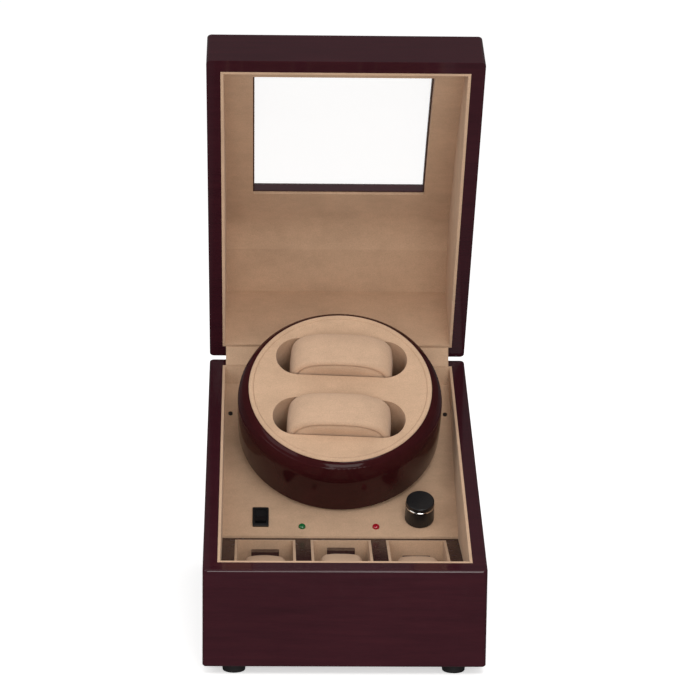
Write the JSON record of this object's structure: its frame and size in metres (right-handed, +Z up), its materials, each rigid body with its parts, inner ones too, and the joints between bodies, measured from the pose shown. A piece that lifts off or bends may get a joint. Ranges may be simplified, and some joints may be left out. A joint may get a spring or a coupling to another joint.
{
  "type": "watch winder box",
  "caption": "Lacquered wooden box with a hinged windowed lid, a motor-driven tilted drum with two watch cushions, and a velvet tray of stored watch cushions.",
  "frame": {"origin": "centre of the case's underside", "axes": "+Z up, -Y out of the low front, +X to the right; the lid is hinged at the back and stored open"},
  "size_m": [0.185, 0.3402, 0.4016],
  "materials": {
    "lacquered_wood": "dark mahogany stain under clear high-gloss lacquer",
    "base_board": "stained board",
    "batten_wood": "plain softwood",
    "velvet": "short-pile tan velvet on board",
    "cushion_velvet": "short-pile tan velvet over foam",
    "drum_lacquer": "high-gloss dark mahogany lacquer",
    "black_plastic": "satin black moulding",
    "dark_plastic": "matt black moulding",
    "nylon": "natural nylon",
    "chrome": "bright chrome plate",
    "steel": "zinc-plated steel",
    "brass": "polished brass plate",
    "rubber": "black rubber",
    "pane": "clear acrylic",
    "green_lens": "green tinted lens",
    "red_lens": "red tinted lens",
    "board": "green solder mask"
  },
  "bodies": {
    "case": {"case_body": "lacquered_wood", "case_bottom_panel": "base_board", "rubber_feet": "rubber", "foot_screws": "steel", "case_liner_left": "velvet", "case_liner_right": "velvet", "case_liner_front": "velvet", "case_liner_back": "velvet", "winder_deck": "velvet", "deck_battens": "batten_wood", "deck_screws": "dark_plastic", "switch_housing": "black_plastic", "selector_potentiometer": "steel", "green_lamp": "green_lens", "red_lamp": "red_lens", "storage_tray": "lacquered_wood", "storage_pocket_1": "velvet", "storage_pocket_2": "velvet", "storage_pocket_3": "velvet", "drum_pedestal": "velvet", "upper_shaft_bush": "nylon", "motor_bracket": "steel", "bracket_screws": "steel", "lower_shaft_bush": "nylon", "gear_motor": "steel", "drive_belt": "rubber", "control_board": "board", "power_inlet": "dark_plastic", "hinge_case_leaves": "brass", "hinge_pins": "brass", "hinge_flap": "velvet"},
    "lid": {"lid_shell": "lacquered_wood", "lid_window": "pane", "lid_side_liners": "velvet", "lid_top_liner": "velvet", "lid_back_liner": "velvet", "lid_front_liner": "velvet", "hinge_lid_leaves": "brass"},
    "drum": {"drum_ring": "drum_lacquer", "drum_edge_band": "velvet", "drum_face": "velvet", "watch_well_upper": "velvet", "watch_well_lower": "velvet", "drum_back_plate": "dark_plastic", "drum_hub": "nylon", "drum_shaft": "steel", "drum_pulley": "nylon"},
    "drive": {"motor_pulley": "nylon"},
    "rocker": {"power_rocker": "black_plastic"},
    "knob": {"program_knob": "black_plastic", "knob_trim_ring": "chrome", "knob_shaft": "steel"},
    "upper_roll": {"watch_cushion_upper": "cushion_velvet"},
    "lower_roll": {"watch_cushion_lower": "cushion_velvet"},
    "stored_roll_1": {"storage_cushion_1": "cushion_velvet", "storage_cushion_core_1": "dark_plastic"},
    "stored_roll_2": {"storage_cushion_2": "cushion_velvet", "storage_cushion_core_2": "dark_plastic"},
    "stored_roll_3": {"storage_cushion_3": "cushion_velvet", "storage_cushion_core_3": "dark_plastic"}
  },
  "joints": [
    {"name": "lid_hinge", "type": "hinge", "parent": "case", "child": "lid", "pos_m": [0, 0.1378, 0.1482], "axis": [1, 0, 0], "range_deg": [0, 71.8], "deforming": ["hinge_flap"]},
    {"name": "drum_spin", "type": "hinge", "parent": "case", "child": "drum", "pos_m": [0, 0.06579, 0.11271], "axis": [0, -0.6494, 0.7604], "continuous": true},
    {"name": "motor_spin", "type": "hinge", "parent": "case", "child": "drive", "pos_m": [0.042, 0.06579, 0.11271], "axis": [0, -0.6494, 0.7604], "continuous": true},
    {"name": "rocker_tip", "type": "hinge", "parent": "case", "child": "rocker", "pos_m": [-0.055, 0.0078, 0.06115], "axis": [1, 0, 0], "range_deg": [0, 14]},
    {"name": "knob_turn", "type": "hinge", "parent": "case", "child": "knob", "pos_m": [0.055, 0.00699, 0.06253], "axis": [0, -0.5075, 0.8616], "range_deg": [-150, 150]},
    {"name": "upper_roll_lift", "type": "slide", "parent": "drum", "child": "upper_roll", "axis": [0, 0.6494, -0.7604], "range_m": [-0.06, 0]},
    {"name": "lower_roll_lift", "type": "slide", "parent": "drum", "child": "lower_roll", "axis": [0, 0.6494, -0.7604], "range_m": [-0.06, 0]},
    {"name": "stored_roll_1_lift", "type": "slide", "parent": "case", "child": "stored_roll_1", "axis": [0, 0, -1], "range_m": [-0.06, 0]},
    {"name": "stored_roll_2_lift", "type": "slide", "parent": "case", "child": "stored_roll_2", "axis": [0, 0, -1], "range_m": [-0.06, 0]},
    {"name": "stored_roll_3_lift", "type": "slide", "parent": "case", "child": "stored_roll_3", "axis": [0, 0, -1], "range_m": [-0.06, 0]}
  ],
  "couplings": [
    {"joint": "motor_spin", "follows": "drum_spin", "ratio": 4}
  ]
}
